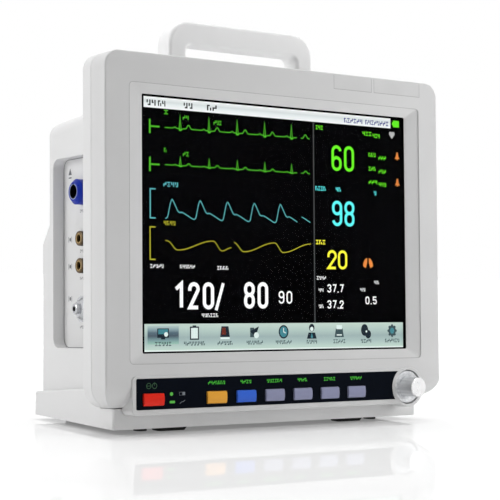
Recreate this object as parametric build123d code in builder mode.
from build123d import *
import os
from math import cos, radians, sin

os.makedirs("parts", exist_ok=True)

# Bedside patient monitor with a 12.1 inch screen.
# World frame: +Z up, screen faces -Y, floor at Z = 0, origin under the middle of the overall box.
# The head (bezel, rear housing and all they hold) leans back by LEAN degrees on a level plinth.
# Head coordinates are x to the right, y back from the bezel face and z up from the screen centre.

# ---------------------------------------------------------------- driving sizes, mm
LEAN = 3.18
FACE_Y = -64.79
SCREEN_Z = 153.8
LEAN_LINE_DROP = 100.0

HEAD_HALF_W = 158.4
HEAD_TOP = 124.0
HEAD_BOTTOM = -133.5
TOP_CORNER_R = 12.0
BOTTOM_CORNER_R = 16.0
FRONT_EDGE_R = 1.5
PARTING = 0.5
ROLL_R = 18.0
BEZEL_DEPTH = 20.0
RIM_DEPTH = 33.0
WALL = 3.0
SKIN = 3.2
GAP = 0.3

SCREEN_OPEN_W = 251.0
SCREEN_OPEN_H = 188.6
BEVEL_W = 276.0
BEVEL_H = 203.0
BEVEL_STEP = 0.5
BEVEL_DEPTH = 3.6
PLATE_DEPTH = 6.0
WINDOW_W = 262.0
WINDOW_H = 200.0
WINDOW_T = 1.2
WINDOW_Y = 4.0

BOSS_LEFT = -137.0
BOSS_TOP = -110.0
BOSS_BOTTOM = -138.5
BOSS_RAISE = 0.8
BOSS_DEPTH = 13.0
PANEL_LEFT = -133.7
PANEL_TOP = -112.0
PANEL_BOTTOM = -134.6
PANEL_T = 0.7
KEY_W = 17.4
KEY_H = 8.9
KEY_Z = -127.3
KEY_PITCH = 26.6
KEY_FIRST_X = -64.2
POWER_KEY_X = -119.2
KEY_CROWN = -2.5
KEY_SHOULDER = -1.7
KEY_BACK = 4.1
KEY_FLANGE = 1.1
KEY_STEM_R = 2.0
KEY_NAMES = ["key_power", "key_silence", "key_func", "key_freeze", "key_nibp", "key_print", "key_menu"]
KEY_XS = [POWER_KEY_X] + [KEY_FIRST_X + KEY_PITCH * step for step in range(6)]

KNOB_X = 123.3
KNOB_Z = -125.0
KNOB_BOSS_R = 16.2
KNOB_WELL_R = 13.8
KNOB_DISC_R = 13.0
KNOB_R = 7.7
KNOB_FACE = -13.5
SHAFT_R = 3.0

LENS_1 = (50.0, 88.4)
LENS_2 = (91.0, 139.3)
LENS_BOTTOM = 111.7
LENS_DEPTH = 12.0

BODY_HALF_W = 135.5
BODY_SHOULDER = 93.0
BODY_TOP_BACK = 85.0
BODY_BACK = 125.0
BODY_SEAT = -127.0
BULGE_BACK = 136.0
BULGE_TOP = 5.0
BULGE_FULL = -10.0

RECESS_DEPTH = 9.3
RECESS_FRONT = 36.0
RECESS_BACK = 119.3
RECESS_TOP = 55.5
RECESS_BOTTOM = -91.0
SOCKET_Y = 88.0
ECG_Y = 58.0
SPO2_Z = 28.5
JACK_ZS = (-7.1, -28.0)
NIBP_Z = -61.0

HANDLE_FRONT = 53.0
HANDLE_DEPTH = 19.0
HANDLE_HALF_W = 69.8
HANDLE_LEG = 16.3
HANDLE_TOP = 163.0
HANDLE_GRIP = 18.5
HANDLE_FOOT_Z = 78.0

PLINTH_HALF_W = 144.0
PLINTH_FRONT = 11.8
PLINTH_BACK = 132.6
FOOT_H = 4.0
LEDGE_BACK_Z = 21.9
LEDGE_FRONT_Z = 32.8
COVER_T = 2.5

RECORDER_FRONT = 46.0
RECORDER_BACK = 112.0
RECORDER_BOTTOM = -62.0
RECORDER_TOP = 22.0
RECORDER_DEEP = 60.0

BATTERY_LEFT = -118.0
BATTERY_RIGHT = -22.0
BATTERY_BOTTOM = -112.0
BATTERY_TOP = -58.0
DOOR_PIN_R = 1.0
DOOR_PIN_GRIP = 1.6
DOOR_PIN_Y = BULGE_BACK - 2.2
DOOR_PIN_Z = BATTERY_BOTTOM + 3.4

# ---------------------------------------------------------------- frame of the leaning head
UP = Vector(0, sin(radians(LEAN)), cos(radians(LEAN)))
BACK = Vector(0, cos(radians(LEAN)), -sin(radians(LEAN)))
CENTRE = Vector(0, FACE_Y, SCREEN_Z - LEAN_LINE_DROP) + UP * LEAN_LINE_DROP
FRONT = Plane(origin=CENTRE, x_dir=(1, 0, 0), z_dir=BACK * -1)
SECTION = Plane(origin=CENTRE, x_dir=BACK, z_dir=(1, 0, 0))
SHELF = Plane(origin=CENTRE, x_dir=(1, 0, 0), z_dir=UP)


def at_depth(y):
    """Plane parallel to the screen, y behind the bezel face; sketch x right, y up, extrude forward."""
    return FRONT.offset(-y)


def at_x(x):
    """Plane across the head at x; sketch x back, y up, extrude to the right."""
    return SECTION.offset(x)


def at_height(z):
    """Plane parallel to the head's roof at z; sketch x right, y back, extrude up."""
    return SHELF.offset(z)


def head_point(x, y, z):
    """World point of a place given in head coordinates."""
    return CENTRE + Vector(x, 0, 0) + BACK * y + UP * z


def save(builder, name):
    """Label a finished piece and write its STEP file."""
    builder.part.label = name
    export_step(builder.part, f"parts/{name}.step")


def span(low, high):
    """Middle of a range."""
    return (low + high) / 2


def head_outline(inset):
    """Front outline of the head, with tighter corners at the top."""
    with BuildSketch() as outline:
        with Locations((0, span(HEAD_BOTTOM, HEAD_TOP))):
            Rectangle(2 * (HEAD_HALF_W - inset), HEAD_TOP - HEAD_BOTTOM - 2 * inset)
        fillet(outline.vertices().group_by(Axis.Y)[-1], TOP_CORNER_R - inset)
        fillet(outline.vertices().group_by(Axis.Y)[0], BOTTOM_CORNER_R - inset)
    return outline.sketch


def rolled_profile(front, back, bottom, top, roll_r):
    """Side profile with a large roll under the front."""
    with BuildSketch() as profile:
        with Locations((span(front, back), span(bottom, top))):
            Rectangle(back - front, top - bottom)
        fillet(profile.vertices().group_by(Axis.X)[0].sort_by(Axis.Y)[0], roll_r)
    return profile.sketch


def body_profile(inset):
    """Side profile of the rear body: falling roof, upright back and a bulge low down."""
    with BuildSketch() as profile:
        with BuildLine():
            Polyline(
                (BEZEL_DEPTH, BODY_SEAT),
                (BEZEL_DEPTH, BODY_SHOULDER),
                (BODY_BACK, BODY_TOP_BACK),
                (BODY_BACK, BULGE_TOP),
                (BULGE_BACK, BULGE_FULL),
                (BULGE_BACK, BODY_SEAT),
                close=True,
            )
        make_face()
        if inset > 0:
            offset(amount=-inset, kind=Kind.INTERSECTION)
    return profile.sketch


def plinth_profile(inset):
    """Side profile of the plinth in world Y and Z, with a ledge that falls towards the back."""
    with BuildSketch() as profile:
        with BuildLine():
            Polyline(
                (FACE_Y + PLINTH_FRONT + inset, FOOT_H),
                (FACE_Y + PLINTH_FRONT + inset, LEDGE_FRONT_Z - inset),
                (FACE_Y + RIM_DEPTH, LEDGE_FRONT_Z - inset),
                (FACE_Y + PLINTH_BACK - inset, LEDGE_BACK_Z - inset),
                (FACE_Y + PLINTH_BACK - inset, FOOT_H),
                close=True,
            )
        make_face()
    return profile.sketch


# ---------------------------------------------------------------- front bezel
CAVITY_BOTTOM = -127.5
CAVITY_ROLL = ROLL_R - PLATE_DEPTH
BOSS_RIGHT = 122.0
KEY_CAVITY_Y = 3.5
KEY_CAVITY_BACK = 11.0
KEY_CAVITY_BOTTOM = -136.0
KEY_CAVITY_LEFT = -134.5
KEY_CAVITY_RIGHT = 104.0
KEY_CLEAR = 0.3
CORNER_BOSS_R = 4.5
SCREW_HOLE_R = 1.6
CORNER_BOSSES = [(-147.0, 108.0), (147.0, 108.0), (-147.0, -112.0), (147.0, -112.0)]
SIDE_BOSSES = [(-144.0, 40.0), (144.0, 40.0), (-144.0, -50.0), (144.0, -50.0)]
CHASSIS_Y = 17.0
CHASSIS_T = 1.5
KNOB_WELL_DEPTH = 6.5
ENCODER_HALF = 5.5
PAN_R = 3.2
PAN_H = 2.0
SCREW_R = 1.5
LEG_X = HANDLE_HALF_W - HANDLE_LEG / 2
LEG_Y = HANDLE_FRONT + HANDLE_DEPTH / 2
LEG_SCREW_X = 14.0

with BuildPart() as bezel_cavity:
    with BuildSketch(at_depth(PLATE_DEPTH)):
        add(head_outline(SKIN))
    extrude(amount=-(BEZEL_DEPTH - PLATE_DEPTH + 1))
    with BuildSketch(at_x(-HEAD_HALF_W)):
        add(rolled_profile(PLATE_DEPTH, BEZEL_DEPTH + 1, CAVITY_BOTTOM, HEAD_TOP - SKIN, CAVITY_ROLL))
    extrude(amount=2 * HEAD_HALF_W, mode=Mode.INTERSECT)

# raised boss that carries the keypad, with a round end for the knob
with BuildPart() as keypad_boss:
    with BuildSketch(at_depth(-BOSS_RAISE)):
        with Locations((span(BOSS_LEFT, BOSS_RIGHT), span(BOSS_BOTTOM, BOSS_TOP))):
            RectangleRounded(BOSS_RIGHT - BOSS_LEFT, BOSS_TOP - BOSS_BOTTOM, 4.0)
        with Locations((KNOB_X, KNOB_Z)):
            Circle(KNOB_BOSS_R)
    extrude(amount=-(BOSS_DEPTH + BOSS_RAISE))
    chamfer(keypad_boss.faces().sort_by(Axis(CENTRE, BACK))[0].edges(), 0.5)

with BuildPart() as front_bezel:
    with BuildSketch(at_depth(0)):
        add(head_outline(0))
    extrude(amount=-BEZEL_DEPTH)
    fillet(front_bezel.faces().sort_by(Axis(CENTRE, BACK))[0].edges(), FRONT_EDGE_R)
    chamfer(front_bezel.faces().sort_by(Axis(CENTRE, BACK))[-1].edges(), PARTING)
    with BuildSketch(at_x(-HEAD_HALF_W)):
        add(rolled_profile(0, BEZEL_DEPTH, HEAD_BOTTOM, HEAD_TOP, ROLL_R))
    extrude(amount=2 * HEAD_HALF_W, mode=Mode.INTERSECT)
    # stepped and bevelled frame round the screen, and the seat of the window behind it
    with BuildSketch(at_depth(0)):
        RectangleRounded(BEVEL_W, BEVEL_H, 3.0)
    extrude(amount=-BEVEL_STEP, mode=Mode.SUBTRACT)
    with BuildSketch(at_depth(BEVEL_STEP)):
        RectangleRounded(BEVEL_W, BEVEL_H, 3.0)
    with BuildSketch(at_depth(BEVEL_DEPTH)):
        RectangleRounded(SCREEN_OPEN_W, SCREEN_OPEN_H, 1.2)
    loft(mode=Mode.SUBTRACT)
    with BuildSketch(at_depth(BEVEL_DEPTH)):
        RectangleRounded(SCREEN_OPEN_W, SCREEN_OPEN_H, 1.2)
    extrude(amount=-PLATE_DEPTH, mode=Mode.SUBTRACT)
    with BuildSketch(at_depth(WINDOW_Y)):
        Rectangle(WINDOW_W + 0.6, WINDOW_H + 0.6)
    extrude(amount=-PLATE_DEPTH, mode=Mode.SUBTRACT)
    add(bezel_cavity.part, mode=Mode.SUBTRACT)
    add(keypad_boss.part)
    # shallow seat of the black keypad panel, ending in an arc round the knob
    with BuildSketch(at_depth(-BOSS_RAISE)):
        with Locations((span(PANEL_LEFT, BOSS_RIGHT), span(PANEL_BOTTOM, PANEL_TOP))):
            RectangleRounded(BOSS_RIGHT - PANEL_LEFT, PANEL_TOP - PANEL_BOTTOM, 1.5)
        with Locations((KNOB_X, KNOB_Z)):
            Circle(KNOB_BOSS_R + 0.6, mode=Mode.SUBTRACT)
    extrude(amount=-BOSS_RAISE, mode=Mode.SUBTRACT)
    # room for the keys behind the boss
    with BuildSketch(at_depth(KEY_CAVITY_Y)):
        with Locations((span(KEY_CAVITY_LEFT, KEY_CAVITY_RIGHT), span(KEY_CAVITY_BOTTOM, PANEL_TOP))):
            Rectangle(KEY_CAVITY_RIGHT - KEY_CAVITY_LEFT, PANEL_TOP - KEY_CAVITY_BOTTOM)
    extrude(amount=-(KEY_CAVITY_BACK - KEY_CAVITY_Y), mode=Mode.SUBTRACT)
    with BuildSketch(at_depth(KEY_CAVITY_Y)):
        with Locations((span(KEY_CAVITY_LEFT, KEY_CAVITY_RIGHT), span(CAVITY_BOTTOM, BOSS_TOP))):
            Rectangle(KEY_CAVITY_RIGHT - KEY_CAVITY_LEFT, BOSS_TOP - CAVITY_BOTTOM)
    extrude(amount=-BOSS_DEPTH, mode=Mode.SUBTRACT)
    with BuildSketch(at_depth(-BOSS_RAISE)):
        with Locations(*[(x, KEY_Z) for x in KEY_XS]):
            RectangleRounded(KEY_W + 2 * KEY_CLEAR, KEY_H + 2 * KEY_CLEAR, 0.8)
    extrude(amount=-(KEY_CAVITY_Y + BOSS_RAISE + 0.1), mode=Mode.SUBTRACT)
    # stepped well of the knob and room for the encoder
    with BuildSketch(at_depth(-BOSS_RAISE)):
        with Locations((KNOB_X, KNOB_Z)):
            Circle(KNOB_WELL_R)
    extrude(amount=-(KNOB_WELL_DEPTH + BOSS_RAISE), mode=Mode.SUBTRACT)
    with BuildSketch(at_depth(0)):
        with Locations((KNOB_X, KNOB_Z)):
            Circle(4.6)
    extrude(amount=-(BOSS_DEPTH + 1), mode=Mode.SUBTRACT)
    with BuildSketch(at_depth(BOSS_DEPTH)):
        with Locations((KNOB_X, KNOB_Z + 1)):
            Rectangle(2 * ENCODER_HALF + 2, 2 * ENCODER_HALF + 2)
    extrude(amount=-BEZEL_DEPTH, mode=Mode.SUBTRACT)
    # two notches over the top edge for the alarm lenses
    for low, high in (LENS_1, LENS_2):
        with BuildSketch(at_x(low)):
            with Locations((span(-1, LENS_DEPTH), span(LENS_BOTTOM, HEAD_TOP + 1))):
                Rectangle(LENS_DEPTH + 1, HEAD_TOP + 1 - LENS_BOTTOM)
        extrude(amount=high - low, mode=Mode.SUBTRACT)
    # screw bosses: long ones for the rear housing, short ones for the chassis plate
    with BuildSketch(at_depth(PLATE_DEPTH - 1)):
        with Locations(*CORNER_BOSSES):
            Circle(CORNER_BOSS_R)
    extrude(amount=-(RIM_DEPTH - WALL - 0.3 - PLATE_DEPTH + 1))
    with BuildSketch(at_depth(PLATE_DEPTH - 1)):
        with Locations(*SIDE_BOSSES):
            Circle(CORNER_BOSS_R - 0.5)
    extrude(amount=-(CHASSIS_Y - PLATE_DEPTH + 1))
    with BuildSketch(at_depth(PLATE_DEPTH)):
        with Locations(*CORNER_BOSSES, *SIDE_BOSSES):
            Circle(SCREW_HOLE_R)
    extrude(amount=-RIM_DEPTH, mode=Mode.SUBTRACT)
save(front_bezel, "front_bezel")

# ---------------------------------------------------------------- screen
LCD_GLASS_W = 254.0
LCD_GLASS_H = 192.0
LCD_GLASS_Y = 5.3
LCD_GLASS_T = 1.5
LCD_TRAY_W = 276.0
LCD_TRAY_H = 206.0

with BuildPart() as screen_window:
    with BuildSketch(at_depth(WINDOW_Y)):
        RectangleRounded(WINDOW_W, WINDOW_H, 2.0)
    extrude(amount=-WINDOW_T)
save(screen_window, "screen_window")

with BuildPart() as lcd_glass:
    with BuildSketch(at_depth(LCD_GLASS_Y)):
        Rectangle(LCD_GLASS_W, LCD_GLASS_H)
    extrude(amount=-LCD_GLASS_T)
save(lcd_glass, "lcd_glass")

with BuildPart() as lcd_frame:
    with BuildSketch(at_depth(LCD_GLASS_Y + LCD_GLASS_T)):
        RectangleRounded(LCD_TRAY_W, LCD_TRAY_H, 2.0)
    extrude(amount=-(CHASSIS_Y - 0.1 - LCD_GLASS_Y - LCD_GLASS_T))
    # hollow for the light guide, and a rib pattern pressed into the back
    with BuildSketch(at_depth(CHASSIS_Y - 0.1)):
        with GridLocations(86, 94, 3, 2):
            RectangleRounded(72, 78, 4)
    extrude(amount=2.0, mode=Mode.SUBTRACT)
save(lcd_frame, "lcd_frame")

CHASSIS_W = 300.0
CHASSIS_H = 222.0
CHASSIS_SLOTS = [(-95.0, 85.0), (95.0, 85.0), (-95.0, -92.0), (95.0, -92.0)]

with BuildPart() as chassis_plate:
    with BuildSketch(at_depth(CHASSIS_Y)):
        with Locations((0, 2)):
            RectangleRounded(CHASSIS_W, CHASSIS_H, 4)
        with Locations(*CORNER_BOSSES):
            Circle(CORNER_BOSS_R + 1.5, mode=Mode.SUBTRACT)
        with Locations(*SIDE_BOSSES):
            Circle(SCREW_HOLE_R + 0.2, mode=Mode.SUBTRACT)
        with Locations(*CHASSIS_SLOTS):
            SlotOverall(50, 14, mode=Mode.SUBTRACT)
    extrude(amount=-CHASSIS_T)
save(chassis_plate, "chassis_plate")

# ---------------------------------------------------------------- keypad
MAT_Y = 7.6
MAT_T = 0.8
KEYPAD_MID_X = -15.0
KEYPAD_MID_Z = span(KEY_CAVITY_BOTTOM, PANEL_TOP)
MAT_W = 232.0
MAT_H = 22.0
BOARD_OVERHANG = 0.5
LIGHT_X = -103.8
LIGHT_ZS = (-123.7, -129.5)
LIGHT_HALF = (1.3, 0.9)

with BuildPart() as keypad_panel:
    with BuildSketch(at_depth(-PANEL_T)):
        with Locations((span(PANEL_LEFT, BOSS_RIGHT), span(PANEL_BOTTOM, PANEL_TOP))):
            RectangleRounded(BOSS_RIGHT - PANEL_LEFT - 0.4, PANEL_TOP - PANEL_BOTTOM - 0.4, 1.3)
        with Locations((KNOB_X, KNOB_Z)):
            Circle(KNOB_BOSS_R + 0.8, mode=Mode.SUBTRACT)
        with Locations(*[(x, KEY_Z) for x in KEY_XS]):
            RectangleRounded(KEY_W + 2 * KEY_CLEAR, KEY_H + 2 * KEY_CLEAR, 0.8, mode=Mode.SUBTRACT)
    extrude(amount=-PANEL_T)
save(keypad_panel, "keypad_panel")

for key_x, key_name in zip(KEY_XS, KEY_NAMES):
    with BuildPart() as key:
        with BuildSketch(at_x(key_x - KEY_W / 2)):
            with BuildLine():
                Polyline(
                    (KEY_SHOULDER, KEY_Z - KEY_H / 2),
                    (KEY_BACK, KEY_Z - KEY_H / 2),
                    (KEY_BACK, KEY_Z + KEY_H / 2),
                    (KEY_SHOULDER, KEY_Z + KEY_H / 2),
                )
                ThreePointArc(
                    (KEY_SHOULDER, KEY_Z + KEY_H / 2),
                    (KEY_CROWN, KEY_Z),
                    (KEY_SHOULDER, KEY_Z - KEY_H / 2),
                )
            make_face()
        extrude(amount=KEY_W)
        fillet(key.edges().filter_by(Axis(CENTRE, BACK)), 0.7)
        fillet(key.faces().sort_by(Axis(CENTRE, BACK))[0].edges(), 0.4)
        # flange that stops the key behind the boss, and the stem that presses the mat
        with BuildSketch(at_depth(KEY_BACK - 0.3)):
            with Locations((key_x, KEY_Z)):
                RectangleRounded(KEY_W + 2 * KEY_FLANGE, KEY_H + 2 * KEY_FLANGE, 1.0)
        extrude(amount=-1.2)
        with BuildSketch(at_depth(KEY_BACK + 0.9)):
            with Locations((key_x, KEY_Z)):
                Circle(KEY_STEM_R)
        extrude(amount=-0.9)
    save(key, key_name)

with BuildPart() as keypad_mat:
    with BuildSketch(at_depth(MAT_Y)):
        with Locations((KEYPAD_MID_X, KEYPAD_MID_Z)):
            RectangleRounded(MAT_W, MAT_H, 2.0)
    extrude(amount=-MAT_T)
    with BuildSketch(at_depth(MAT_Y)):
        with Locations(*[(x, KEY_Z) for x in KEY_XS]):
            Circle(3.5)
    extrude(amount=0.6, taper=20)
save(keypad_mat, "keypad_mat")

with BuildPart() as keypad_board:
    with BuildSketch(at_depth(MAT_Y + MAT_T)):
        with Locations((KEYPAD_MID_X, KEYPAD_MID_Z)):
            Rectangle(MAT_W + 8 * BOARD_OVERHANG, MAT_H + 2 * BOARD_OVERHANG)
    extrude(amount=-1.6)
save(keypad_board, "keypad_board")

with BuildPart() as status_lights:
    with BuildSketch(at_depth(-PANEL_T - 0.25)):
        with Locations((LIGHT_X, LIGHT_ZS[0])):
            Circle(LIGHT_HALF[0])
        with Locations((LIGHT_X + 0.7, LIGHT_ZS[1])):
            RectangleRounded(4.4, 2 * LIGHT_HALF[1], 0.5)
    extrude(amount=-0.25)
save(status_lights, "status_lights")

# ---------------------------------------------------------------- rotary selector
DISC_FRONT = 0.4
DISC_BACK = 3.0
HUB_BACK = 5.4
BORE_FIT = 0.05
ROTOR_FRONT = 12.2
ROTOR_BACK = 17.0
ROTOR_R = 4.2
ENCODER_FRONT = 13.3
ENCODER_BACK = 19.6
SHAFT_BACK = 17.8
CAP_T = 0.8

with BuildPart() as selector_knob:
    with BuildSketch(at_depth(DISC_BACK)):
        with Locations((KNOB_X, KNOB_Z)):
            Circle(KNOB_DISC_R)
    extrude(amount=DISC_BACK - DISC_FRONT)
    fillet(selector_knob.faces().sort_by(Axis(CENTRE, BACK))[0].edges(), 0.6)
    # dish between the raised rim and the barrel
    with BuildSketch(at_x(KNOB_X)):
        with BuildLine():
            Polyline(
                (DISC_FRONT - 0.1, KNOB_Z + KNOB_DISC_R - 1.1),
                (DISC_FRONT + 1.3, KNOB_Z + KNOB_R),
                (DISC_FRONT - 0.1, KNOB_Z + KNOB_R),
                close=True,
            )
        make_face()
    revolve(axis=Axis(head_point(KNOB_X, 0, KNOB_Z), BACK), mode=Mode.SUBTRACT)
    with BuildSketch(at_depth(DISC_BACK)):
        with Locations((KNOB_X, KNOB_Z)):
            Circle(KNOB_R)
    extrude(amount=DISC_BACK - KNOB_FACE - CAP_T)
    with BuildSketch(at_depth(DISC_BACK)):
        with Locations((KNOB_X, KNOB_Z)):
            Circle(6.0)
    extrude(amount=-(HUB_BACK - DISC_BACK))
    with BuildSketch(at_depth(HUB_BACK)):
        with Locations((KNOB_X, KNOB_Z)):
            Circle(SHAFT_R + BORE_FIT)
    extrude(amount=14.0, mode=Mode.SUBTRACT)
save(selector_knob, "selector_knob")

with BuildPart() as knob_cap:
    with BuildSketch(at_depth(KNOB_FACE + CAP_T)):
        with Locations((KNOB_X, KNOB_Z)):
            Circle(KNOB_R)
    extrude(amount=CAP_T)
    chamfer(knob_cap.faces().sort_by(Axis(CENTRE, BACK))[0].edges(), 0.5)
save(knob_cap, "knob_cap")

with BuildPart() as encoder_shaft:
    with BuildSketch(at_depth(SHAFT_BACK)):
        with Locations((KNOB_X, KNOB_Z)):
            Circle(SHAFT_R)
    extrude(amount=SHAFT_BACK - HUB_BACK + 13.5)
    # flat that keys the shaft to the rotor
    with BuildSketch(at_depth(SHAFT_BACK)):
        with Locations((KNOB_X, KNOB_Z + SHAFT_R)):
            Rectangle(2 * SHAFT_R, 1.6)
    extrude(amount=7.0, mode=Mode.SUBTRACT)
save(encoder_shaft, "encoder_shaft")

with BuildPart() as encoder_rotor:
    with BuildSketch(at_depth(ROTOR_FRONT)):
        with Locations((KNOB_X, KNOB_Z)):
            Circle(ROTOR_R)
            Circle(SHAFT_R + BORE_FIT, mode=Mode.SUBTRACT)
    extrude(amount=-(ROTOR_BACK - ROTOR_FRONT))
save(encoder_rotor, "encoder_rotor")

with BuildPart() as encoder_body:
    with BuildSketch(at_depth(ENCODER_FRONT)):
        with Locations((KNOB_X, KNOB_Z)):
            Rectangle(2 * ENCODER_HALF, 2 * ENCODER_HALF)
            Circle(ROTOR_R + 0.08, mode=Mode.SUBTRACT)
    extrude(amount=-(ROTOR_BACK + 0.3 - ENCODER_FRONT))
    with BuildSketch(at_depth(ROTOR_BACK + 0.3)):
        with Locations((KNOB_X, KNOB_Z)):
            Rectangle(2 * ENCODER_HALF, 2 * ENCODER_HALF)
            Circle(SHAFT_R + 0.3, mode=Mode.SUBTRACT)
    extrude(amount=-(ENCODER_BACK - ROTOR_BACK - 0.3))
save(encoder_body, "encoder_body")

# ---------------------------------------------------------------- alarm lamp
LENS_WALL = 2.4
LENS_GAP = 0.15
LED_BOARD_Y = 9.0
LED_BOARD_X = span(LENS_1[0], LENS_2[1])
LED_PITCH = 11.0

for lens_name, (low, high) in (("alarm_lens_left", LENS_1), ("alarm_lens_right", LENS_2)):
    with BuildPart() as lens:
        with BuildSketch(at_x(low + LENS_GAP)) as lens_profile:
            with Locations((span(0, LENS_DEPTH - LENS_GAP), span(LENS_BOTTOM + LENS_GAP, HEAD_TOP))):
                Rectangle(LENS_DEPTH - LENS_GAP, HEAD_TOP - LENS_BOTTOM - LENS_GAP)
            fillet(lens_profile.vertices().group_by(Axis.X)[0].sort_by(Axis.Y)[-1], FRONT_EDGE_R)
        extrude(amount=high - low - 2 * LENS_GAP)
        with BuildSketch(at_x(low)):
            with Locations((LENS_WALL + 6, HEAD_TOP - LENS_WALL - 8)):
                Rectangle(12, 16)
        extrude(amount=high - low, mode=Mode.SUBTRACT)
    save(lens, lens_name)

with BuildPart() as alarm_led_board:
    with BuildSketch(at_depth(LED_BOARD_Y)):
        with Locations((LED_BOARD_X, 112)):
            Rectangle(8 * LED_PITCH, 14)
    extrude(amount=-1.4)
    with BuildSketch(at_depth(LED_BOARD_Y)):
        with Locations((LED_BOARD_X, 115.5)):
            with GridLocations(LED_PITCH, 1.0, 8, 1):
                Rectangle(5.0, 3.2)
    extrude(amount=2.2)
save(alarm_led_board, "alarm_led_board")

# ---------------------------------------------------------------- rear housing
SHOULDER_R = 11.0
BACK_EDGE_R = 8.0
TUB_WALL = 2.6
PANEL_PLATE_T = 2.5
PANEL_PLATE_X = -BODY_HALF_W + RECESS_DEPTH
VENT_Z = 45.0
INLET_X = 96.0
INLET_Z = -92.0
INLET_W = 27.6
INLET_H = 20.4
NETWORK_X = 58.0
STUD_X = 30.0
SPEAKER_X = -70.0
SPEAKER_Z = 40.0

with BuildPart() as body_outer:
    with BuildSketch(at_x(-BODY_HALF_W)):
        add(body_profile(0))
    extrude(amount=2 * BODY_HALF_W)
    roof_sides = body_outer.faces().sort_by(Axis(CENTRE, UP))[-1].edges().filter_by(Axis.X, reverse=True)
    fillet(roof_sides, SHOULDER_R)
    roof_back = body_outer.edges().filter_by(Axis.X).sort_by(Axis(CENTRE, UP))[-1]
    fillet(roof_back, BACK_EDGE_R)

with BuildPart() as body_inner:
    with BuildSketch(at_x(-BODY_HALF_W + WALL)):
        add(body_profile(WALL))
    extrude(amount=2 * (BODY_HALF_W - WALL))
    inner_sides = body_inner.faces().sort_by(Axis(CENTRE, UP))[-1].edges().filter_by(Axis.X, reverse=True)
    fillet(inner_sides, SHOULDER_R - WALL)
    inner_back = body_inner.edges().filter_by(Axis.X).sort_by(Axis(CENTRE, UP))[-1]
    fillet(inner_back, BACK_EDGE_R - WALL)
    with BuildSketch(at_x(-BODY_HALF_W + WALL)):
        with Locations((BEZEL_DEPTH + 7, span(BODY_SEAT + WALL, BODY_SHOULDER - WALL))):
            Rectangle(14.2, BODY_SHOULDER - BODY_SEAT - 2 * WALL)
    extrude(amount=2 * (BODY_HALF_W - WALL))

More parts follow.
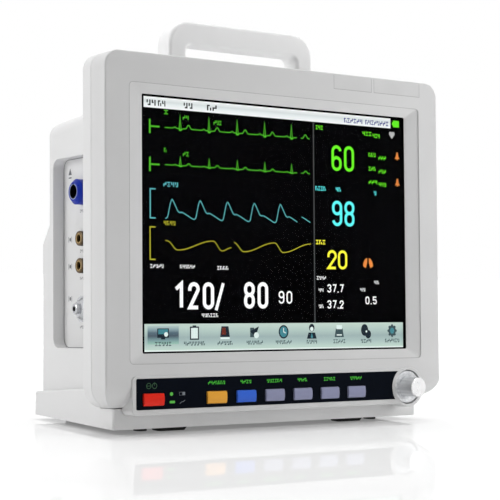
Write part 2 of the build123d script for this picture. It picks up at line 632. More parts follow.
with BuildPart() as rear_housing:
    with BuildSketch(at_depth(BEZEL_DEPTH)):
        add(head_outline(0))
    extrude(amount=-(RIM_DEPTH - BEZEL_DEPTH))
    fillet(rear_housing.faces().sort_by(Axis(CENTRE, BACK))[-1].edges(), 2.0)
    chamfer(rear_housing.faces().sort_by(Axis(CENTRE, BACK))[0].edges(), PARTING)
    add(body_outer.part)
    with BuildSketch(at_depth(BEZEL_DEPTH)):
        add(head_outline(SKIN))
    extrude(amount=-(RIM_DEPTH - BEZEL_DEPTH - WALL), mode=Mode.SUBTRACT)
    add(body_inner.part, mode=Mode.SUBTRACT)
    # tub of the connector recess in the left side
    with BuildSketch(at_x(PANEL_PLATE_X)):
        with Locations((span(RECESS_FRONT, RECESS_BACK), span(RECESS_BOTTOM, RECESS_TOP))):
            RectangleRounded(
                RECESS_BACK - RECESS_FRONT + 2 * TUB_WALL,
                RECESS_TOP - RECESS_BOTTOM + 2 * TUB_WALL,
                8.0 + TUB_WALL,
            )
    extrude(amount=-(RECESS_DEPTH - 0.5))
    with BuildSketch(at_x(PANEL_PLATE_X)):
        with Locations((span(RECESS_FRONT, RECESS_BACK), span(RECESS_BOTTOM, RECESS_TOP))):
            RectangleRounded(RECESS_BACK - RECESS_FRONT, RECESS_TOP - RECESS_BOTTOM, 8.0)
    extrude(amount=-(RECESS_DEPTH + 1), mode=Mode.SUBTRACT)
    # window of the recorder in the right side
    with BuildSketch(at_x(BODY_HALF_W - WALL - 1)):
        with Locations((span(RECORDER_FRONT, RECORDER_BACK), span(RECORDER_BOTTOM, RECORDER_TOP))):
            Rectangle(RECORDER_BACK - RECORDER_FRONT + 0.4, RECORDER_TOP - RECORDER_BOTTOM + 0.4)
    extrude(amount=WALL + 2, mode=Mode.SUBTRACT)
    # holes for the handle legs, with thickened roof round them
    with BuildSketch(at_height(HANDLE_FOOT_Z + 4.2)):
        with Locations((-LEG_X, LEG_Y), (LEG_X, LEG_Y)):
            Rectangle(38, 34)
    extrude(amount=6.0)
    with BuildSketch(at_height(HANDLE_FOOT_Z)):
        with Locations((-LEG_X, LEG_Y), (LEG_X, LEG_Y)):
            RectangleRounded(HANDLE_LEG + 0.4, HANDLE_DEPTH + 0.4, 3.2)
    extrude(amount=30.0, mode=Mode.SUBTRACT)
    with BuildSketch(at_height(HANDLE_FOOT_Z + 4.0)):
        with Locations((-LEG_X, LEG_Y), (LEG_X, LEG_Y)):
            with GridLocations(2 * LEG_SCREW_X, 1, 2, 1):
                Circle(SCREW_HOLE_R)
    extrude(amount=5.0, mode=Mode.SUBTRACT)
    # rows of vent slots high in the back, and the sound slots of the speaker
    with BuildSketch(at_depth(BODY_BACK - WALL - 1)):
        with Locations((45, VENT_Z)):
            with GridLocations(8.0, 34.0, 11, 2):
                SlotOverall(28, 3.0, rotation=90)
        with Locations((SPEAKER_X, SPEAKER_Z)):
            with GridLocations(1, 5.5, 1, 7):
                SlotOverall(36, 2.4)
    extrude(amount=-(WALL + 2), mode=Mode.SUBTRACT)
    # inlet, network socket and ground stud low in the back
    with BuildSketch(at_depth(BULGE_BACK - WALL - 1)):
        with Locations((INLET_X, INLET_Z)):
            Rectangle(INLET_W + 0.4, INLET_H + 0.4)
        with Locations((NETWORK_X, INLET_Z)):
            Rectangle(16.4, 14.4)
        with Locations((STUD_X, INLET_Z)):
            Circle(4.1)
    extrude(amount=-(WALL + 2), mode=Mode.SUBTRACT)
    # battery opening
    with BuildSketch(at_depth(BULGE_BACK - WALL - 1)):
        with Locations((span(BATTERY_LEFT, BATTERY_RIGHT), span(BATTERY_BOTTOM, BATTERY_TOP))):
            Rectangle(BATTERY_RIGHT - BATTERY_LEFT, BATTERY_TOP - BATTERY_BOTTOM)
    extrude(amount=-(WALL + 2), mode=Mode.SUBTRACT)
    with BuildSketch(at_x(BATTERY_LEFT - DOOR_PIN_GRIP)):
        with Locations((DOOR_PIN_Y, DOOR_PIN_Z)):
            Circle(DOOR_PIN_R)
    extrude(amount=BATTERY_RIGHT - BATTERY_LEFT + 2 * DOOR_PIN_GRIP, mode=Mode.SUBTRACT)
    # passage for the corner screws
    with BuildSketch(at_depth(BEZEL_DEPTH)):
        with Locations(*CORNER_BOSSES):
            Circle(2.1)
    extrude(amount=-(RIM_DEPTH - BEZEL_DEPTH + 1), mode=Mode.SUBTRACT)
save(rear_housing, "rear_housing")

with BuildPart() as case_screws:
    with BuildSketch(at_depth(RIM_DEPTH)):
        with Locations(*CORNER_BOSSES):
            Circle(3.7)
    extrude(amount=-2.4)
    fillet(case_screws.faces().group_by(Axis(CENTRE, BACK))[-1].edges(), 0.8)
    with BuildSketch(at_depth(RIM_DEPTH)):
        with Locations(*CORNER_BOSSES):
            Circle(SCREW_R)
    extrude(amount=18.0)
    with BuildSketch(at_depth(RIM_DEPTH + 2.4)):
        with Locations(*CORNER_BOSSES):
            Rectangle(4.6, 1.0)
            Rectangle(1.0, 4.6)
    extrude(amount=1.3, mode=Mode.SUBTRACT)
save(case_screws, "case_screws")

# ---------------------------------------------------------------- connector panel and its sockets
SOCKET_OUT = 9.0
SOCKET_R = 9.8
BAYONET_R = 5.2
JACK_R = 5.8
JACK_BORE_R = 3.25
JACK_OUT = 4.5
NIBP_FLANGE_R = 10.0
NIBP_BORE_R = 2.0
SOCKET_TAIL = 14.0
BAYONET_DEPTH = 16.0
PIN_DISC_T = 0.9
JACK_BORE_L = 17.0

with BuildPart() as connector_panel:
    with BuildSketch(at_x(PANEL_PLATE_X + 0.05)):
        with Locations((span(RECESS_FRONT, RECESS_BACK), span(RECESS_BOTTOM, RECESS_TOP))):
            RectangleRounded(RECESS_BACK - RECESS_FRONT + 4.4, RECESS_TOP - RECESS_BOTTOM + 4.4, 9.0)
        with Locations((SOCKET_Y, SPO2_Z), (ECG_Y, SPO2_Z)):
            Circle(SOCKET_R - 1.8, mode=Mode.SUBTRACT)
        with Locations(*[(SOCKET_Y, z) for z in JACK_ZS]):
            Circle(JACK_R - 1.6, mode=Mode.SUBTRACT)
        with Locations((SOCKET_Y, NIBP_Z)):
            Circle(5.0, mode=Mode.SUBTRACT)
    extrude(amount=PANEL_PLATE_T)
save(connector_panel, "connector_panel")

for socket_name, socket_y in (("spo2_socket", SOCKET_Y), ("ecg_socket", ECG_Y)):
    with BuildPart() as socket:
        with BuildSketch(at_x(PANEL_PLATE_X)):
            with Locations((socket_y, SPO2_Z)):
                Circle(SOCKET_R)
        extrude(amount=-SOCKET_OUT)
        chamfer(socket.faces().sort_by(Axis.X)[0].edges(), 2.6)
        with BuildSketch(at_x(PANEL_PLATE_X)):
            with Locations((socket_y, SPO2_Z)):
                Circle(SOCKET_R - 2.0)
        extrude(amount=SOCKET_TAIL)
        with BuildSketch(at_x(PANEL_PLATE_X - SOCKET_OUT)):
            with Locations((socket_y, SPO2_Z)):
                Circle(BAYONET_R)
                with Locations((0, BAYONET_R)):
                    Rectangle(2.4, 2.0)
        extrude(amount=BAYONET_DEPTH, mode=Mode.SUBTRACT)
    save(socket, socket_name)

with BuildPart() as socket_pins:
    for socket_y in (SOCKET_Y, ECG_Y):
        with BuildSketch(at_x(PANEL_PLATE_X - SOCKET_OUT + BAYONET_DEPTH - 1)):
            with Locations((socket_y, SPO2_Z)):
                Circle(BAYONET_R - 0.1)
        extrude(amount=PIN_DISC_T)
        with BuildSketch(at_x(PANEL_PLATE_X - SOCKET_OUT + BAYONET_DEPTH - 1)):
            with Locations((socket_y, SPO2_Z)):
                with PolarLocations(3.2, 6):
                    Circle(0.45)
                Circle(0.45)
        extrude(amount=-5.0)
save(socket_pins, "socket_pins")

for jack_name, jack_z in zip(("temp_jack_upper", "temp_jack_lower"), JACK_ZS):
    with BuildPart() as jack:
        with BuildSketch(at_x(PANEL_PLATE_X)):
            with Locations((SOCKET_Y, jack_z)):
                Circle(JACK_R)
        extrude(amount=-JACK_OUT)
        fillet(jack.faces().sort_by(Axis.X)[0].edges(), 0.9)
        with BuildSketch(at_x(PANEL_PLATE_X)):
            with Locations((SOCKET_Y, jack_z)):
                Circle(JACK_R - 1.8)
        extrude(amount=16.0)
        with BuildSketch(at_x(PANEL_PLATE_X - JACK_OUT)):
            with Locations((SOCKET_Y, jack_z)):
                Circle(JACK_BORE_R)
        extrude(amount=JACK_BORE_L, mode=Mode.SUBTRACT)
    save(jack, jack_name)

with BuildPart() as nibp_coupling:
    with BuildSketch(at_x(PANEL_PLATE_X)):
        with Locations((SOCKET_Y, NIBP_Z)):
            Circle(NIBP_FLANGE_R)
    extrude(amount=-1.6)
    with BuildSketch(at_x(PANEL_PLATE_X - 1.6)):
        with Locations((SOCKET_Y, NIBP_Z)):
            Circle(8.6)
    extrude(amount=-3.4, taper=38)
    with BuildSketch(at_x(PANEL_PLATE_X)):
        with Locations((SOCKET_Y, NIBP_Z)):
            Circle(4.1)
    extrude(amount=-8.4)
    fillet(nibp_coupling.faces().sort_by(Axis.X)[0].edges(), 0.8)
    with BuildSketch(at_x(PANEL_PLATE_X)):
        with Locations((SOCKET_Y, NIBP_Z)):
            Circle(4.8)
    extrude(amount=10.0)
    with BuildSketch(at_x(PANEL_PLATE_X - 9.0)):
        with Locations((SOCKET_Y, NIBP_Z)):
            Circle(NIBP_BORE_R)
    extrude(amount=24.0, mode=Mode.SUBTRACT)
save(nibp_coupling, "nibp_coupling")

# ---------------------------------------------------------------- carrying handle
HANDLE_OUTER_R = 19.0
HANDLE_INNER_R = 5.0

with BuildPart() as carry_handle:
    with BuildSketch(at_depth(HANDLE_FRONT)) as hoop:
        with Locations((0, span(HANDLE_FOOT_Z, HANDLE_TOP))):
            Rectangle(2 * HANDLE_HALF_W, HANDLE_TOP - HANDLE_FOOT_Z)
        fillet(hoop.vertices().group_by(Axis.Y)[-1], HANDLE_OUTER_R)
    extrude(amount=-HANDLE_DEPTH)
    with BuildSketch(at_depth(HANDLE_FRONT)) as grip_gap:
        with Locations((0, span(HANDLE_FOOT_Z - 1, HANDLE_TOP - HANDLE_GRIP))):
            Rectangle(2 * (HANDLE_HALF_W - HANDLE_LEG), HANDLE_TOP - HANDLE_GRIP - HANDLE_FOOT_Z + 1)
        fillet(grip_gap.vertices().group_by(Axis.Y)[-1], HANDLE_INNER_R)
    extrude(amount=-HANDLE_DEPTH, mode=Mode.SUBTRACT)
    hoop_edges = carry_handle.edges().filter_by(Axis(CENTRE, BACK), reverse=True)
    fillet(hoop_edges.group_by(Axis(CENTRE, UP))[1:], 3.0)
    # feet that bear against the inside of the roof
    with BuildSketch(at_height(HANDLE_FOOT_Z)):
        with Locations((-LEG_X, LEG_Y), (LEG_X, LEG_Y)):
            Rectangle(36, 28)
    extrude(amount=4.0)
    with BuildSketch(at_height(HANDLE_FOOT_Z)):
        with Locations((-LEG_X, LEG_Y), (LEG_X, LEG_Y)):
            with GridLocations(2 * LEG_SCREW_X, 1, 2, 1):
                Circle(SCREW_HOLE_R + 0.3)
    extrude(amount=4.0, mode=Mode.SUBTRACT)
save(carry_handle, "carry_handle")

# ---------------------------------------------------------------- plinth, cover, feet
PLINTH_WALL = 3.0
WELL_GAP = 0.4
MOUNT_X = 100.0
MOUNT_Y = 50.0
INSERT_R = 3.2
INSERT_BORE_R = 2.0
INSERT_L = 8.0
PLINTH_MID_Y = FACE_Y + span(PLINTH_FRONT, PLINTH_BACK)
FOOT_Y = FACE_Y + 30.0
REAR_FOOT_Y = FACE_Y + 114.0
FOOT_X = 85.0
BUMPER_X = 110.0
BUMPER_R = 5.0
REAR_FOOT_X = 118.0

with BuildPart() as plinth:
    with BuildSketch(Plane.YZ.offset(-PLINTH_HALF_W)):
        add(plinth_profile(0))
    extrude(amount=2 * PLINTH_HALF_W)
    fillet(plinth.edges().filter_by(Axis.Z), 3.0)
    fillet(plinth.faces().sort_by(Axis.Z)[-2].edges().filter_by(Axis.X, reverse=True), 1.8)
    # hollow from below
    with BuildSketch(Plane.YZ.offset(-PLINTH_HALF_W + PLINTH_WALL)):
        add(plinth_profile(PLINTH_WALL))
    extrude(amount=2 * (PLINTH_HALF_W - PLINTH_WALL), mode=Mode.SUBTRACT)
    # seat plate under the head, then the well that takes the rear body
    with BuildSketch(at_height(BODY_SEAT - 0.1)):
        with Locations((0, span(RIM_DEPTH + GAP, PLINTH_BACK - 2))):
            Rectangle(2 * PLINTH_HALF_W - 1, PLINTH_BACK - 2 - RIM_DEPTH - GAP)
    extrude(amount=-PLINTH_WALL)
    with BuildSketch(at_height(BODY_SEAT - 0.1)):
        with Locations((0, span(RIM_DEPTH + GAP, PLINTH_BACK + 20))):
            Rectangle(2 * (BODY_HALF_W + WELL_GAP), PLINTH_BACK + 20 - RIM_DEPTH - GAP)
    extrude(amount=30, mode=Mode.SUBTRACT)
    # clearance under the bezel and the rim
    with BuildSketch(at_height(HEAD_BOTTOM - GAP)):
        with Locations((0, span(-10, RIM_DEPTH + GAP))):
            Rectangle(2 * PLINTH_HALF_W + 10, RIM_DEPTH + GAP + 10)
    extrude(amount=40, mode=Mode.SUBTRACT)
    # roof over the front part, closing the hollow below the bezel
    with BuildSketch(at_height(HEAD_BOTTOM - GAP)):
        with Locations((0, span(PLINTH_FRONT + 4.5, RIM_DEPTH + 2))):
            Rectangle(2 * PLINTH_HALF_W - 4, RIM_DEPTH + 2 - PLINTH_FRONT - 4.5)
    extrude(amount=-2.5)
    # cable passage between head and plinth
    with BuildSketch(at_height(BODY_SEAT)):
        with Locations((0, 80)):
            SlotOverall(60, 24)
    extrude(amount=-6, mode=Mode.SUBTRACT)
save(plinth, "plinth")

with BuildPart() as plinth_cover:
    with BuildSketch(Plane.XY.offset(FOOT_H)):
        with Locations((0, PLINTH_MID_Y)):
            RectangleRounded(
                2 * (PLINTH_HALF_W - PLINTH_WALL) - GAP,
                PLINTH_BACK - PLINTH_FRONT - 2 * PLINTH_WALL - GAP,
                1.0,
            )
    extrude(amount=COVER_T)
    with BuildSketch(Plane.XY.offset(FOOT_H)):
        with Locations((0, PLINTH_MID_Y)):
            with GridLocations(MOUNT_X, MOUNT_Y, 2, 2):
                Circle(INSERT_R + 1.6)
    extrude(amount=INSERT_L)
    with BuildSketch(Plane.XY.offset(FOOT_H)):
        with Locations((0, PLINTH_MID_Y)):
            with GridLocations(MOUNT_X, MOUNT_Y, 2, 2):
                Circle(INSERT_R)
    extrude(amount=INSERT_L, mode=Mode.SUBTRACT)
save(plinth_cover, "plinth_cover")

with BuildPart() as mount_inserts:
    with BuildSketch(Plane.XY.offset(FOOT_H)):
        with Locations((0, PLINTH_MID_Y)):
            with GridLocations(MOUNT_X, MOUNT_Y, 2, 2):
                Circle(INSERT_R)
                Circle(INSERT_BORE_R, mode=Mode.SUBTRACT)
    extrude(amount=INSERT_L)
save(mount_inserts, "mount_inserts")

with BuildPart() as front_feet:
    for side in (-1, 1):
        with BuildSketch(Plane.XY):
            with Locations((side * FOOT_X, FOOT_Y)):
                RectangleRounded(24, 11, 3.0)
        with BuildSketch(Plane.XY.offset(FOOT_H)):
            with Locations((side * FOOT_X, FOOT_Y)):
                RectangleRounded(29, 14, 3.0)
        loft()
        with BuildSketch(Plane.XY.offset(0.6)):
            with Locations((side * BUMPER_X, FOOT_Y)):
                Circle(BUMPER_R)
        extrude(amount=FOOT_H - 0.6)
save(front_feet, "front_feet")

with BuildPart() as rear_feet:
    with BuildSketch(Plane.XY):
        with Locations((-REAR_FOOT_X, REAR_FOOT_Y), (REAR_FOOT_X, REAR_FOOT_Y)):
            Circle(6.6)
    extrude(amount=FOOT_H, taper=-14)
save(rear_feet, "rear_feet")

# ---------------------------------------------------------------- strip recorder in the right side
CASE_WALL = 2.0
DOOR_T = 3.0
HINGE_X = BODY_HALF_W - 3.0
HINGE_Z = RECORDER_BOTTOM + 6.5
HINGE_R = 1.25
KNUCKLE_R = 2.8
ROLL_R_OUT = 18.0
ROLL_L = 50.0
ROLL_X = BODY_HALF_W - 33.0
ROLL_Z = RECORDER_BOTTOM + CASE_WALL + ROLL_R_OUT + GAP
PLATEN_R = 4.0
PLATEN_X = BODY_HALF_W - 7.5
PLATEN_Z = 8.0
LATCH_Z = -2.0
LATCH_W = 18.0
LATCH_H = 7.0
RECORDER_MID = span(RECORDER_FRONT, RECORDER_BACK)

with BuildPart() as recorder_case:
    with BuildSketch(at_x(BODY_HALF_W - RECORDER_DEEP)):
        with Locations((RECORDER_MID, span(RECORDER_BOTTOM, RECORDER_TOP))):
            Rectangle(RECORDER_BACK - RECORDER_FRONT, RECORDER_TOP - RECORDER_BOTTOM)
    extrude(amount=RECORDER_DEEP - 0.5)
    with BuildSketch(at_x(BODY_HALF_W - RECORDER_DEEP + CASE_WALL)):
        with Locations((RECORDER_MID, span(RECORDER_BOTTOM, RECORDER_TOP))):
            Rectangle(
                RECORDER_BACK - RECORDER_FRONT - 2 * CASE_WALL,
                RECORDER_TOP - RECORDER_BOTTOM - 2 * CASE_WALL,
            )
    extrude(amount=RECORDER_DEEP, mode=Mode.SUBTRACT)
    # thermal head block high at the back of the bay
    with BuildSketch(at_x(BODY_HALF_W - RECORDER_DEEP + CASE_WALL)):
        with Locations((RECORDER_MID, 12)):
            Rectangle(RECORDER_BACK - RECORDER_FRONT - 2 * CASE_WALL, 10)
    extrude(amount=RECORDER_DEEP - CASE_WALL - 13.0)
    # bores for the hinge pin
    with BuildSketch(at_depth(RECORDER_FRONT - 1)):
        with Locations((HINGE_X, HINGE_Z)):
            Circle(HINGE_R)
    extrude(amount=-(RECORDER_BACK - RECORDER_FRONT + 2), mode=Mode.SUBTRACT)
save(recorder_case, "recorder_case")

with BuildPart() as recorder_hinge_pin:
    with BuildSketch(at_depth(RECORDER_FRONT + 0.2)):
        with Locations((HINGE_X, HINGE_Z)):
            Circle(HINGE_R - 0.01)
    extrude(amount=-(RECORDER_BACK - RECORDER_FRONT - 0.4))
save(recorder_hinge_pin, "recorder_hinge_pin")

with BuildPart() as recorder_door:
    # outer skin, flush with the side and rounded at the hinge end
    with BuildSketch(at_depth(RECORDER_FRONT + CASE_WALL + 0.5)):
        with Locations((BODY_HALF_W - DOOR_T / 2 + 0.6, span(HINGE_Z, RECORDER_TOP - CASE_WALL - 0.5))):
            Rectangle(DOOR_T, RECORDER_TOP - CASE_WALL - 0.5 - HINGE_Z)
        with Locations((HINGE_X, HINGE_Z)):
            Circle(KNUCKLE_R)
    extrude(amount=-(RECORDER_BACK - RECORDER_FRONT - 2 * CASE_WALL - 1.0))
    # ears that carry the platen
    for ear_y in (RECORDER_FRONT + CASE_WALL + 1.5, RECORDER_BACK - CASE_WALL - 4.0):
        with BuildSketch(at_depth(ear_y)):
            with Locations((BODY_HALF_W - 7.0, PLATEN_Z)):
                Rectangle(10.0, 9.0)
        extrude(amount=-2.5)
    with BuildSketch(at_depth(RECORDER_FRONT)):
        with Locations((PLATEN_X, PLATEN_Z)):
            Circle(1.55)
        with Locations((HINGE_X, HINGE_Z)):
            Circle(HINGE_R + 0.05)
    extrude(amount=-(RECORDER_BACK - RECORDER_FRONT), mode=Mode.SUBTRACT)
    # paper slit and latch window above the platen
    with BuildSketch(at_x(BODY_HALF_W - DOOR_T)):
        with Locations((RECORDER_MID, PLATEN_Z + 6.2)):
            SlotOverall(52, 1.6)
        with Locations((RECORDER_MID, LATCH_Z)):
            RectangleRounded(LATCH_W + 2 * GAP, LATCH_H + 2 * GAP, 1.3)
    extrude(amount=DOOR_T + 1.5, mode=Mode.SUBTRACT)
save(recorder_door, "recorder_door")

with BuildPart() as recorder_latch:
    with BuildSketch(at_x(BODY_HALF_W + 0.2)):
        with Locations((RECORDER_MID, LATCH_Z)):
            RectangleRounded(LATCH_W, LATCH_H, 1.0)
    extrude(amount=-2.9)
    with BuildSketch(at_x(BODY_HALF_W - 2.7)):
        with Locations((RECORDER_MID, LATCH_Z)):
            Rectangle(LATCH_W + 4, LATCH_H + 2)
    extrude(amount=-1.0)
save(recorder_latch, "recorder_latch")

with BuildPart() as platen_roller:
    with BuildSketch(at_depth(RECORDER_MID - 25)):
        with Locations((PLATEN_X, PLATEN_Z)):
            Circle(PLATEN_R)
    extrude(amount=-50)
    with BuildSketch(at_depth(RECORDER_FRONT + CASE_WALL + 1.0)):
        with Locations((PLATEN_X, PLATEN_Z)):
            Circle(1.5)
    extrude(amount=-(RECORDER_BACK - RECORDER_FRONT - 2 * CASE_WALL - 2.0))
save(platen_roller, "platen_roller")

with BuildPart() as paper_roll:
    with BuildSketch(at_depth(RECORDER_MID - ROLL_L / 2)):
        with Locations((ROLL_X, ROLL_Z)):
            Circle(ROLL_R_OUT)
            Circle(6.0, mode=Mode.SUBTRACT)
    extrude(amount=-ROLL_L)
save(paper_roll, "paper_roll")

# ---------------------------------------------------------------- battery and its door
BATTERY_DOOR_T = 2.6
BAY_WALL = 2.0
BAY_DEPTH = 40.0
BATTERY_MID = span(BATTERY_LEFT, BATTERY_RIGHT)

with BuildPart() as battery_bay:
    with BuildSketch(at_depth(BULGE_BACK - WALL - 0.05)):
        with Locations((BATTERY_MID, span(BATTERY_BOTTOM, BATTERY_TOP))):
            Rectangle(
                BATTERY_RIGHT - BATTERY_LEFT + 2 * BAY_WALL,
                BATTERY_TOP - BATTERY_BOTTOM + 2 * BAY_WALL,
            )
    extrude(amount=BAY_DEPTH)
    with BuildSketch(at_depth(BULGE_BACK - WALL)):
        with Locations((BATTERY_MID, span(BATTERY_BOTTOM, BATTERY_TOP))):
            Rectangle(BATTERY_RIGHT - BATTERY_LEFT, BATTERY_TOP - BATTERY_BOTTOM)
    extrude(amount=BAY_DEPTH - BAY_WALL, mode=Mode.SUBTRACT)
    with BuildSketch(at_x(BATTERY_LEFT - BAY_WALL - 1)):
        with Locations((DOOR_PIN_Y, DOOR_PIN_Z)):
            Circle(DOOR_PIN_R + 1.8)
    extrude(amount=BATTERY_RIGHT - BATTERY_LEFT + 2 * BAY_WALL + 2, mode=Mode.SUBTRACT)
save(battery_bay, "battery_bay")

with BuildPart() as battery_pack:
    with BuildSketch(at_depth(BULGE_BACK - WALL - BAY_DEPTH + BAY_WALL + 0.4)):
        with Locations((BATTERY_MID, span(BATTERY_BOTTOM, BATTERY_TOP) + 3.0)):
            RectangleRounded(86, 42, 4.0)
    extrude(amount=-30.0)
save(battery_pack, "battery_pack")

with BuildPart() as battery_door:
    with BuildSketch(at_x(BATTERY_LEFT + 0.5)):
        with Locations((BULGE_BACK - BATTERY_DOOR_T / 2, span(DOOR_PIN_Z, BATTERY_TOP - 0.5))):
            Rectangle(BATTERY_DOOR_T, BATTERY_TOP - 0.5 - DOOR_PIN_Z)
        with Locations((DOOR_PIN_Y, DOOR_PIN_Z)):
            Circle(2.6)
    extrude(amount=BATTERY_RIGHT - BATTERY_LEFT - 1.0)
    with BuildSketch(at_x(BATTERY_LEFT)):
        with Locations((DOOR_PIN_Y, DOOR_PIN_Z)):
            Circle(DOOR_PIN_R + 0.05)
    extrude(amount=BATTERY_RIGHT - BATTERY_LEFT, mode=Mode.SUBTRACT)
    # finger scoop at the free edge
    with BuildSketch(at_depth(BULGE_BACK)):
        with Locations((BATTERY_MID, BATTERY_TOP - 8)):
            SlotOverall(28, 8)
    extrude(amount=1.2, mode=Mode.SUBTRACT)
save(battery_door, "battery_door")

with BuildPart() as battery_door_pin:
    with BuildSketch(at_x(BATTERY_LEFT - DOOR_PIN_GRIP + 0.1)):
        with Locations((DOOR_PIN_Y, DOOR_PIN_Z)):
            Circle(DOOR_PIN_R - 0.01)
    extrude(amount=BATTERY_RIGHT - BATTERY_LEFT + 2 * DOOR_PIN_GRIP - 0.2)
save(battery_door_pin, "battery_door_pin")

# ---------------------------------------------------------------- rear connections
PIN_X = 7.0
PIN_W = 2.0
PIN_H = 4.0
NETWORK_W = 16.0
NETWORK_H = 14.0
PLATE_X = 62.0
PLATE_Z = -48.0
PLATE_W = 80.0
PLATE_H = 38.0

with BuildPart() as ac_inlet:
    with BuildSketch(at_depth(BULGE_BACK + 0.05)):
        with Locations((INLET_X, INLET_Z)):
            RectangleRounded(INLET_W + 6, INLET_H + 6, 2.5)
    extrude(amount=-1.8)
    with BuildSketch(at_depth(BULGE_BACK + 0.05)):
        with Locations((INLET_X, INLET_Z)):
            Rectangle(INLET_W, INLET_H)
    extrude(amount=20.0)
    with BuildSketch(at_depth(BULGE_BACK + 1.9)) as inlet_mouth:
        with Locations((INLET_X, INLET_Z)):
            Rectangle(24.2, 16.6)
        chamfer(inlet_mouth.vertices().group_by(Axis.Y)[-1], 4.0)
    extrude(amount=16.0, mode=Mode.SUBTRACT)
save(ac_inlet, "ac_inlet")

with BuildPart() as ac_inlet_pins:
    with BuildSketch(at_depth(BULGE_BACK - 14.1)):
        with Locations((INLET_X, INLET_Z + 2)):
            Rectangle(PIN_W, PIN_H)
        with Locations((INLET_X - PIN_X, INLET_Z - 2), (INLET_X + PIN_X, INLET_Z - 2)):
            Rectangle(PIN_W, PIN_H)
    extrude(amount=-9.0)
save(ac_inlet_pins, "ac_inlet_pins")

with BuildPart() as network_socket:
    with BuildSketch(at_depth(BULGE_BACK + 0.4)):
        with Locations((NETWORK_X, INLET_Z)):
            Rectangle(NETWORK_W, NETWORK_H)
    extrude(amount=18.0)
    with BuildSketch(at_depth(BULGE_BACK + 0.4)):
        with Locations((NETWORK_X, INLET_Z)):
            Rectangle(12.0, 7.4)
        with Locations((NETWORK_X, INLET_Z - 4.6)):
            Rectangle(6.0, 2.2)
    extrude(amount=13.0, mode=Mode.SUBTRACT)
save(network_socket, "network_socket")

with BuildPart() as ground_stud:
    with BuildSketch(at_depth(BULGE_BACK + 0.05)):
        with Locations((STUD_X, INLET_Z)):
            RegularPolygon(6.5, 6)
    extrude(amount=-2.4)
    with BuildSketch(at_depth(BULGE_BACK - 12)):
        with Locations((STUD_X, INLET_Z)):
            Circle(3.0)
    extrude(amount=-20.5)
    fillet(ground_stud.faces().sort_by(Axis(CENTRE, BACK))[-1].edges(), 0.8)
save(ground_stud, "ground_stud")

with BuildPart() as rating_plate:
    with BuildSketch(at_depth(BULGE_BACK + 0.05)):
        with Locations((PLATE_X, PLATE_Z)):
            RectangleRounded(PLATE_W, PLATE_H, 2.0)
    extrude(amount=-0.3)
save(rating_plate, "rating_plate")

# ---------------------------------------------------------------- inside the head
BOARD_Y = 32.0
BOARD_T = 1.6
STANDOFFS = [(-88.0, 62.0), (52.0, 62.0), (-88.0, -38.0), (52.0, -38.0)]

with BuildPart() as board_standoffs:
    with BuildSketch(at_depth(CHASSIS_Y + CHASSIS_T + 0.05)):
        with Locations(*STANDOFFS):
            RegularPolygon(3.2, 6)
    extrude(amount=-(BOARD_Y - CHASSIS_Y - CHASSIS_T - 0.05))
save(board_standoffs, "board_standoffs")

with BuildPart() as main_board:
    with BuildSketch(at_depth(BOARD_Y)):
        with Locations((-18, 12)):
            RectangleRounded(160, 120, 3.0)
    extrude(amount=-BOARD_T)
    with BuildSketch(at_depth(BOARD_Y + BOARD_T)):
        with Locations((-50, 30), (8, 30)):
            Rectangle(24, 24)
        with Locations((-20, 34)):
            Rectangle(14, 20)
        with Locations((-18, -10)):
            with GridLocations(26, 22, 4, 2):
                Rectangle(12, 9)
    extrude(amount=-2.2)
    with BuildSketch(at_depth(BOARD_Y + BOARD_T)):
        with Locations((-18, 66)):
            with GridLocations(44, 1, 3, 1):
                Rectangle(30, 6)
    extrude(amount=-7.0)
save(main_board, "main_board")

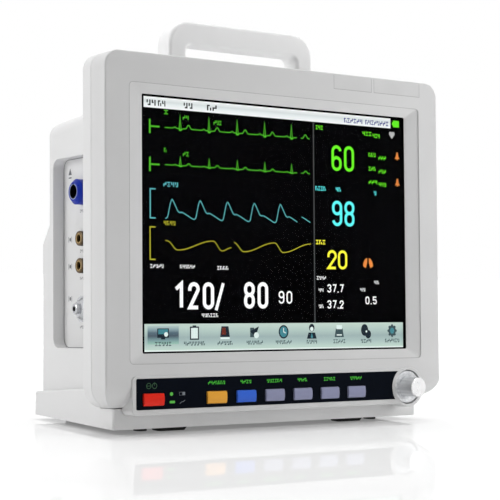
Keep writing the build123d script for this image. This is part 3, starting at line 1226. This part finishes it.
with BuildPart() as inner_screws:
    for head_y, places in ((CHASSIS_Y + CHASSIS_T, SIDE_BOSSES), (BOARD_Y + BOARD_T, STANDOFFS)):
        with BuildSketch(at_depth(head_y)):
            with Locations(*places):
                Circle(PAN_R)
        extrude(amount=-PAN_H)
    with BuildSketch(at_depth(CHASSIS_Y + CHASSIS_T)):
        with Locations(*SIDE_BOSSES):
            Circle(SCREW_R)
    extrude(amount=8.0)
    for leg_x in (-LEG_X, LEG_X):
        with BuildSketch(at_height(HANDLE_FOOT_Z)):
            with Locations((leg_x - LEG_SCREW_X, LEG_Y), (leg_x + LEG_SCREW_X, LEG_Y)):
                Circle(PAN_R)
        extrude(amount=-PAN_H)
        with BuildSketch(at_height(HANDLE_FOOT_Z)):
            with Locations((leg_x - LEG_SCREW_X, LEG_Y), (leg_x + LEG_SCREW_X, LEG_Y)):
                Circle(SCREW_R)
        extrude(amount=8.0)
save(inner_screws, "inner_screws")

with BuildPart() as power_supply:
    with BuildSketch(at_depth(60)):
        with Locations((66, -96)):
            Rectangle(112, 44)
    extrude(amount=-2.0)
    with BuildSketch(at_depth(62)):
        with Locations((40, -96)):
            Rectangle(30, 30)
        with Locations((80, -96)):
            with GridLocations(8, 1, 5, 1):
                Rectangle(3.0, 34)
        with Locations((106, -88), (106, -104)):
            Circle(6.5)
    extrude(amount=-28.0)
save(power_supply, "power_supply")

with BuildPart() as nibp_pump:
    with BuildSketch(at_height(-116)):
        with Locations((-70, 66)):
            Rectangle(56, 30)
    extrude(amount=24)
    with BuildSketch(at_x(-42)):
        with Locations((66, -104)):
            Circle(11.5)
    extrude(amount=40)
    with BuildSketch(at_x(-98)):
        with Locations((60, -100), (72, -100)):
            Circle(2.4)
    extrude(amount=-10)
save(nibp_pump, "nibp_pump")

with BuildPart() as speaker:
    with BuildSketch(at_depth(BODY_BACK - WALL - 0.1)):
        with Locations((SPEAKER_X, SPEAKER_Z)):
            Circle(25.0)
            Circle(19.0, mode=Mode.SUBTRACT)
    extrude(amount=3.0)
    with BuildSketch(at_depth(BODY_BACK - WALL - 3.1)):
        with Locations((SPEAKER_X, SPEAKER_Z)):
            Circle(21.0)
    extrude(amount=10.0, taper=28)
    with BuildSketch(at_depth(BODY_BACK - WALL - 10.1)):
        with Locations((SPEAKER_X, SPEAKER_Z)):
            Circle(14.0)
    extrude(amount=10.0)
save(speaker, "speaker")
